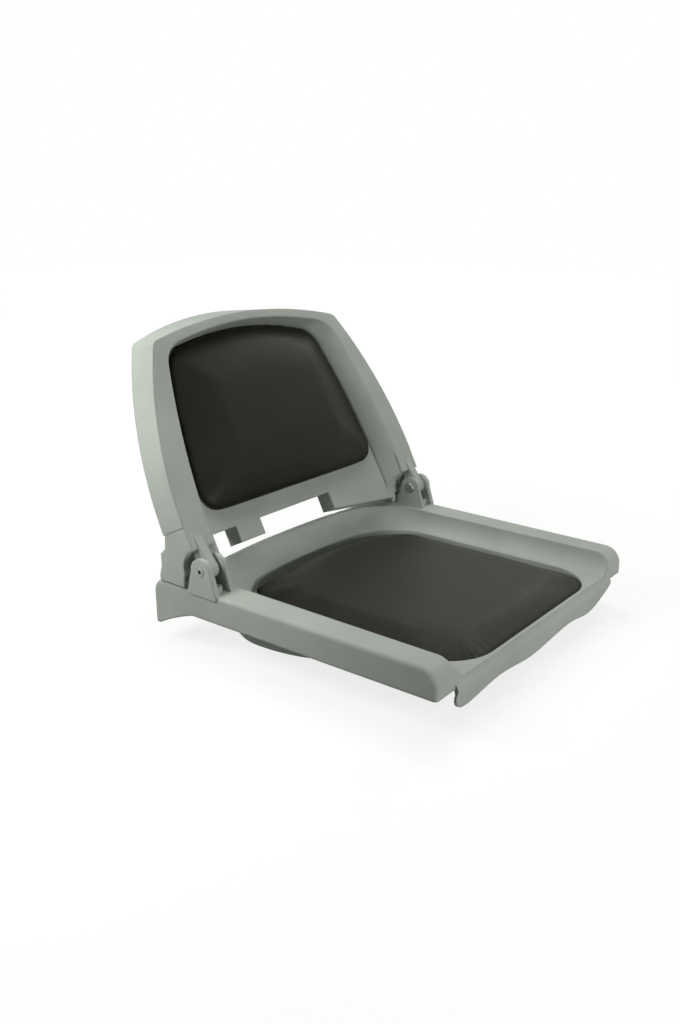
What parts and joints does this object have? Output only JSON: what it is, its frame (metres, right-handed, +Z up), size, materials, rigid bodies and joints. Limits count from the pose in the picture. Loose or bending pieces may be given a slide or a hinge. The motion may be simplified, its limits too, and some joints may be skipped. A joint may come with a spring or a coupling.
{
  "type": "folding boat seat",
  "caption": "Low folding boat seat: moulded plastic seat and backrest shells hinged at the sides, each with a stapled vinyl pad, on a square bolt pattern.",
  "frame": {"origin": "centre of the square bolt pattern, on the seat's underside mounting face", "axes": "+Z up, -Y towards the front edge of the seat, +X towards the sitter's left; backrest open at rest"},
  "size_m": [0.5198, 0.5827, 0.4236],
  "materials": {
    "shell": "moulded polyethylene, light grey with a green cast, satin",
    "vinyl": "charcoal marine vinyl, fine grain",
    "foam": "open-cell upholstery foam",
    "board": "plywood",
    "staples": "galvanised wire",
    "tee_nuts": "zinc-plated steel",
    "screws": "stainless steel",
    "washers": "stainless steel",
    "inserts": "turned brass",
    "pins": "bright aluminium, hollow",
    "bushes": "natural nylon"
  },
  "bodies": {
    "seat": {"seat_shell": "shell", "seat_cushion_cover": "vinyl", "seat_cushion_foam": "foam", "seat_cushion_board": "board", "seat_cover_staples": "staples", "seat_cushion_tee_nuts": "tee_nuts", "seat_cushion_screws": "screws", "seat_cushion_washers": "washers", "mount_inserts": "inserts", "hinge_pin_right": "pins", "hinge_pin_left": "pins"},
    "backrest": {"back_shell": "shell", "back_cushion_cover": "vinyl", "back_cushion_foam": "foam", "back_cushion_board": "board", "back_cover_staples": "staples", "back_cushion_tee_nuts": "tee_nuts", "back_cushion_screws": "screws", "back_cushion_washers": "washers", "hinge_bush_right": "bushes", "hinge_bush_left": "bushes"}
  },
  "joints": [
    {"name": "backrest_fold", "type": "hinge", "parent": "seat", "child": "backrest", "pos_m": [0, 0.129, 0.122], "axis": [1, 0, 0], "range_deg": [0, 122]}
  ]
}
